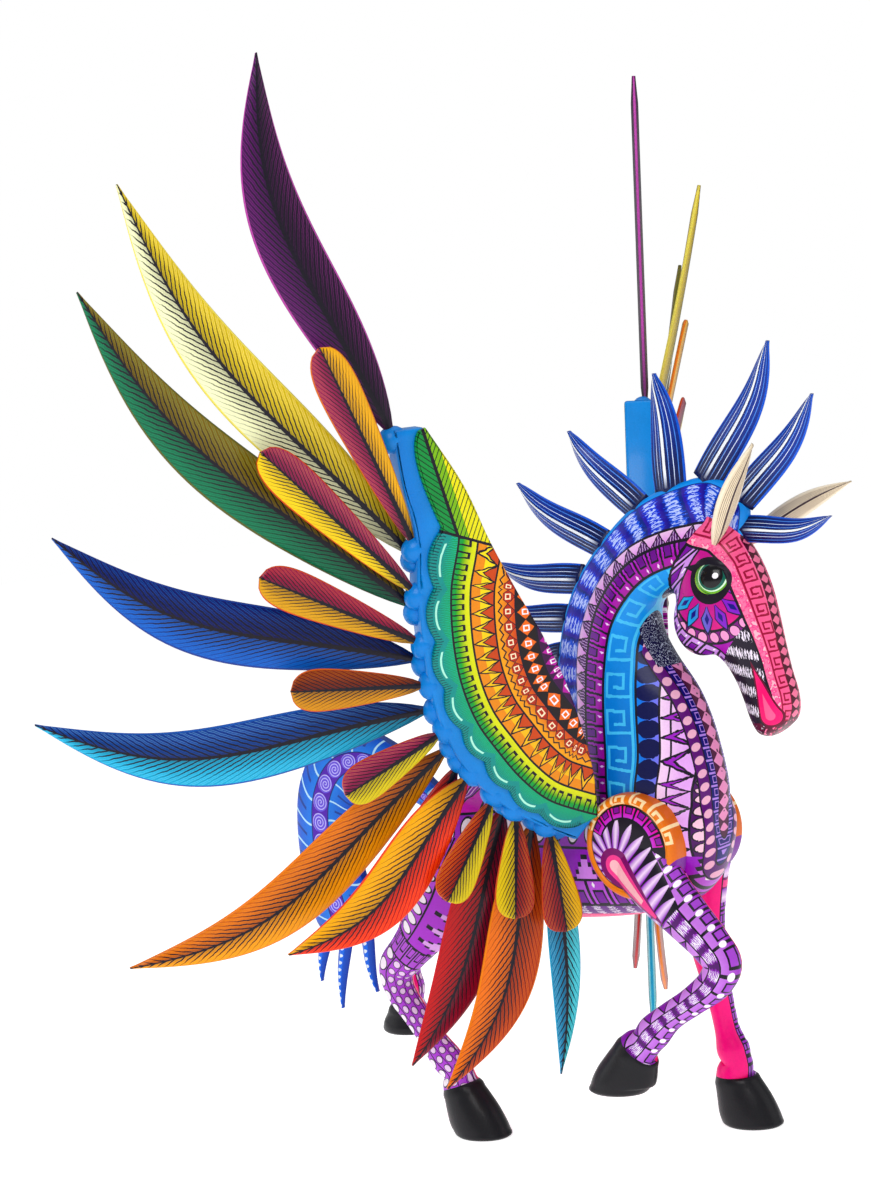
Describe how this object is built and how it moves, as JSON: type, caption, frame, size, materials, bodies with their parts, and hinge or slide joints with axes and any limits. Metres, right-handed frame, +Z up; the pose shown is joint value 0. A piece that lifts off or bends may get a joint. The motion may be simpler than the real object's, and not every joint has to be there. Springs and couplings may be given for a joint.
{
  "type": "carved winged horse figure",
  "caption": "Carved and painted wooden winged horse in a trot, standing on two hooves, with plug-in wings of pegged feathers, tail and ears, and a spiked mane.",
  "frame": {"origin": "under the middle of the figure's box, on the surface that the hooves stand on", "axes": "+Z up, +X the way the horse faces, the middle plane of the carving at Y = 0"},
  "size_m": [0.3568, 0.474, 0.54],
  "materials": {
    "body_paint": "satin varnished acrylic paint on carved wood, fine patterns",
    "mane_paint": "satin varnished blue paint with pale lengthwise stripes",
    "ear_paint": "satin varnished cream and grey-blue paint",
    "tail_paint": "satin varnished blue paint with a purple stripe",
    "wing_paint": "satin varnished paint, teal scallops to orange and purple bands",
    "primary_1_paint": "satin varnished purple-black with a magenta edge",
    "primary_2_paint": "satin varnished cream and yellow",
    "primary_3_paint": "satin varnished green and brown gold",
    "primary_4_paint": "satin varnished navy and royal blue",
    "primary_5_paint": "satin varnished navy and pale blue",
    "primary_6_paint": "satin varnished orange",
    "primary_7_paint": "satin varnished yellow orange and red",
    "primary_8_paint": "satin varnished crimson",
    "primary_9_paint": "satin varnished orange and red brown",
    "primary_10_paint": "satin varnished teal blue",
    "covert_paint": "satin varnished maroon and gold"
  },
  "bodies": {
    "figure": {"carved_body": "body_paint", "right_foreleg": "body_paint", "left_foreleg": "body_paint", "right_hind_leg": "body_paint", "left_hind_leg": "body_paint", "mane_spike_1": "mane_paint", "mane_spike_2": "mane_paint", "mane_spike_3": "mane_paint", "mane_spike_4": "mane_paint", "mane_spike_5": "mane_paint", "mane_spike_6": "mane_paint", "mane_spike_7": "mane_paint", "mane_spike_8": "mane_paint", "mane_spike_9": "mane_paint"},
    "right_wing": {"right_wing_arm": "wing_paint", "right_primary_1": "primary_1_paint", "right_primary_2": "primary_2_paint", "right_primary_3": "primary_3_paint", "right_primary_4": "primary_4_paint", "right_primary_5": "primary_5_paint", "right_primary_6": "primary_6_paint", "right_primary_7": "primary_7_paint", "right_primary_8": "primary_8_paint", "right_primary_9": "primary_9_paint", "right_primary_10": "primary_10_paint", "right_covert_1": "covert_paint", "right_covert_2": "covert_paint", "right_covert_3": "covert_paint", "right_covert_4": "covert_paint", "right_covert_5": "covert_paint", "right_covert_6": "covert_paint", "right_covert_7": "covert_paint", "right_covert_8": "covert_paint", "right_covert_9": "covert_paint"},
    "left_wing": {"left_wing_arm": "wing_paint", "left_primary_1": "primary_1_paint", "left_primary_2": "primary_2_paint", "left_primary_3": "primary_3_paint", "left_primary_4": "primary_4_paint", "left_primary_5": "primary_5_paint", "left_primary_6": "primary_6_paint", "left_primary_7": "primary_7_paint", "left_primary_8": "primary_8_paint", "left_primary_9": "primary_9_paint", "left_primary_10": "primary_10_paint", "left_covert_1": "covert_paint", "left_covert_2": "covert_paint", "left_covert_3": "covert_paint", "left_covert_4": "covert_paint", "left_covert_5": "covert_paint", "left_covert_6": "covert_paint", "left_covert_7": "covert_paint", "left_covert_8": "covert_paint", "left_covert_9": "covert_paint"},
    "tail": {"tail": "tail_paint", "tail_tip_1": "tail_paint", "tail_tip_2": "tail_paint", "tail_tip_3": "tail_paint"},
    "right_ear": {"right_ear": "ear_paint"},
    "left_ear": {"left_ear": "ear_paint"}
  },
  "joints": [
    {"name": "right_wing_pull", "type": "slide", "parent": "figure", "child": "right_wing", "axis": [0.3106, -0.7815, 0.5411], "range_m": [0, 0.03]},
    {"name": "left_wing_pull", "type": "slide", "parent": "figure", "child": "left_wing", "axis": [0.3106, 0.7815, 0.5411], "range_m": [0, 0.03]},
    {"name": "tail_pull", "type": "slide", "parent": "figure", "child": "tail", "axis": [-0.829, 0, 0.5593], "range_m": [0, 0.025]},
    {"name": "right_ear_pull", "type": "slide", "parent": "figure", "child": "right_ear", "axis": [0.6049, -0.2342, 0.7611], "range_m": [0, 0.012]},
    {"name": "left_ear_pull", "type": "slide", "parent": "figure", "child": "left_ear", "axis": [0.8593, 0.3069, 0.4092], "range_m": [0, 0.012]}
  ]
}
